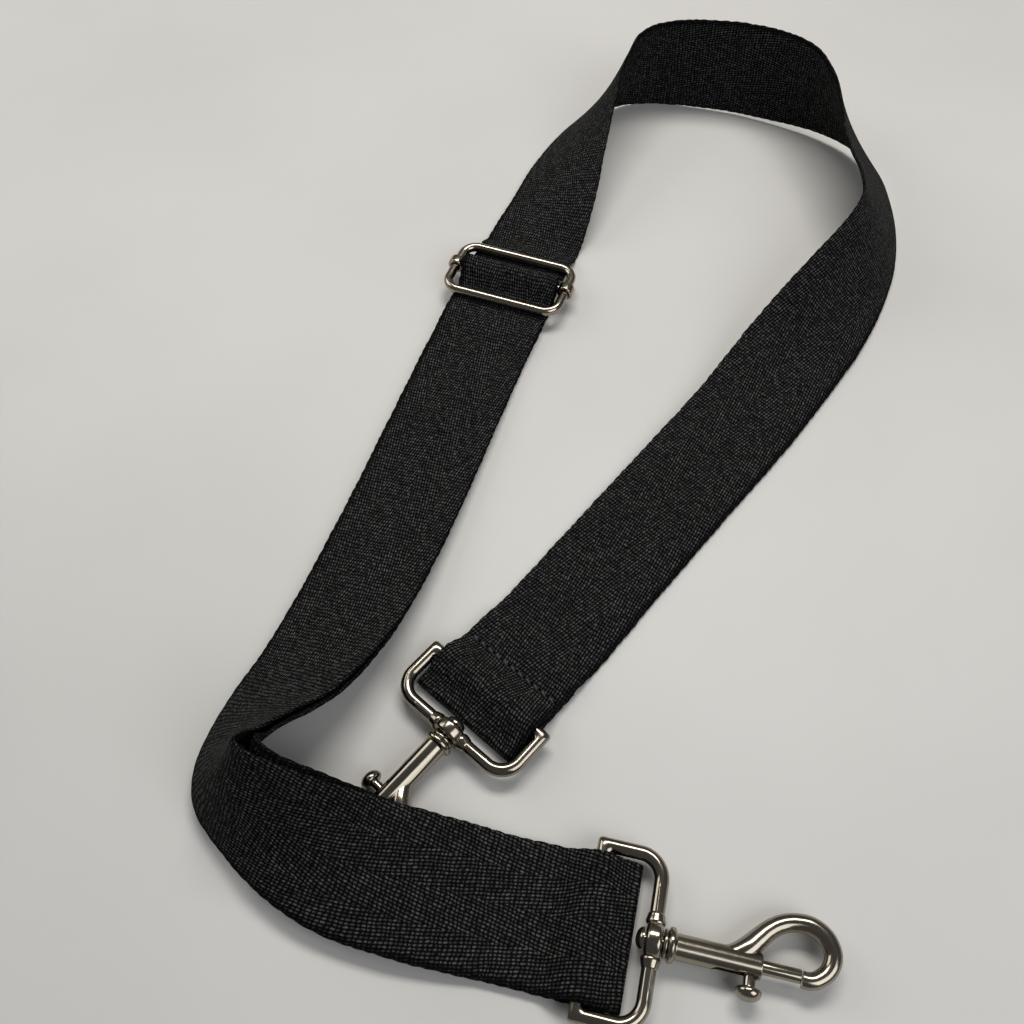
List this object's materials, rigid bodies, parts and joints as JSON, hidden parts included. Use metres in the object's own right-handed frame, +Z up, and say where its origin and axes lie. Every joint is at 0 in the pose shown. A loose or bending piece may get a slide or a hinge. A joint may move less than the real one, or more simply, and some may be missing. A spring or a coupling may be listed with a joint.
{
  "type": "detachable bag strap",
  "caption": "Adjustable woven webbing strap with a sliding buckle and a swivelling spring bolt hook on a ring at each end, laid in a loose loop.",
  "frame": {"origin": "middle of the bounding box on the plane that the strap lies on", "axes": "+Z up from the table; +Y away from the viewer of the picture, to the back of the loop; +X to the viewer's right"},
  "size_m": [0.2584, 0.3782, 0.0407],
  "materials": {
    "webbing": "coarse plain weave, matt",
    "thread": "twisted thread",
    "casting": "polished nickel over a zinc casting",
    "spring_wire": "drawn wire"
  },
  "bodies": {
    "band": {"webbing_eye_b": "webbing", "webbing_right_leg": "webbing", "webbing_back_loop": "webbing", "webbing_left_leg": "webbing", "webbing_slider_crossing": "webbing", "webbing_upper_run": "webbing", "webbing_bend": "webbing", "webbing_lower_leg": "webbing", "webbing_eye_a": "webbing", "webbing_return_upper": "webbing", "webbing_return_bend": "webbing", "webbing_return_lower": "webbing", "webbing_sewn_end": "webbing", "stitching_b": "thread", "slider_bar": "casting"},
    "ring_a": {"ring_a": "casting"},
    "ring_b": {"ring_b": "casting"},
    "hook_a": {"hook_body_a": "casting", "swivel_stud_a": "casting", "spring_a": "spring_wire"},
    "hook_b": {"hook_body_b": "casting", "swivel_stud_b": "casting", "spring_b": "spring_wire"},
    "bolt_a": {"plunger_a": "casting", "thumb_knob_a": "casting"},
    "bolt_b": {"plunger_b": "casting", "thumb_knob_b": "casting"},
    "buckle_frame": {"slider_frame": "casting"}
  },
  "joints": [
    {"name": "ring_a_hinge", "type": "hinge", "parent": "band", "child": "ring_a", "pos_m": [-0.01821, -0.16347, 0.005], "axis": [-0.2723, -0.9622, 0], "range_deg": [-140, 150]},
    {"name": "ring_b_hinge", "type": "hinge", "parent": "band", "child": "ring_b", "pos_m": [-0.04311, -0.09637, 0.005], "axis": [-0.7133, 0.7009, 0], "range_deg": [-140, 0.3]},
    {"name": "hook_a_swivel", "type": "hinge", "parent": "ring_a", "child": "hook_a", "pos_m": [-0.00224, -0.16799, 0.005], "axis": [0.9622, -0.2723, 0], "continuous": true},
    {"name": "hook_b_swivel", "type": "hinge", "parent": "ring_b", "child": "hook_b", "pos_m": [-0.05475, -0.10821, 0.005], "axis": [-0.7009, -0.7133, 0], "range_deg": [-210, 1]},
    {"name": "bolt_a_slide", "type": "slide", "parent": "hook_a", "child": "bolt_a", "axis": [-0.9622, 0.2723, 0], "range_m": [0, 0.008], "stiffness_N_per_m": 300, "springref_m": -0.004, "deforming": ["spring_a"]},
    {"name": "bolt_b_slide", "type": "slide", "parent": "hook_b", "child": "bolt_b", "axis": [0.7009, 0.7133, 0], "range_m": [0, 0.008], "stiffness_N_per_m": 300, "springref_m": -0.004, "deforming": ["spring_b"]},
    {"name": "buckle_frame_slide", "type": "slide", "parent": "band", "child": "buckle_frame", "axis": [-0.3987, -0.9171, 0], "range_m": [-0.0034, 0.0012]}
  ]
}
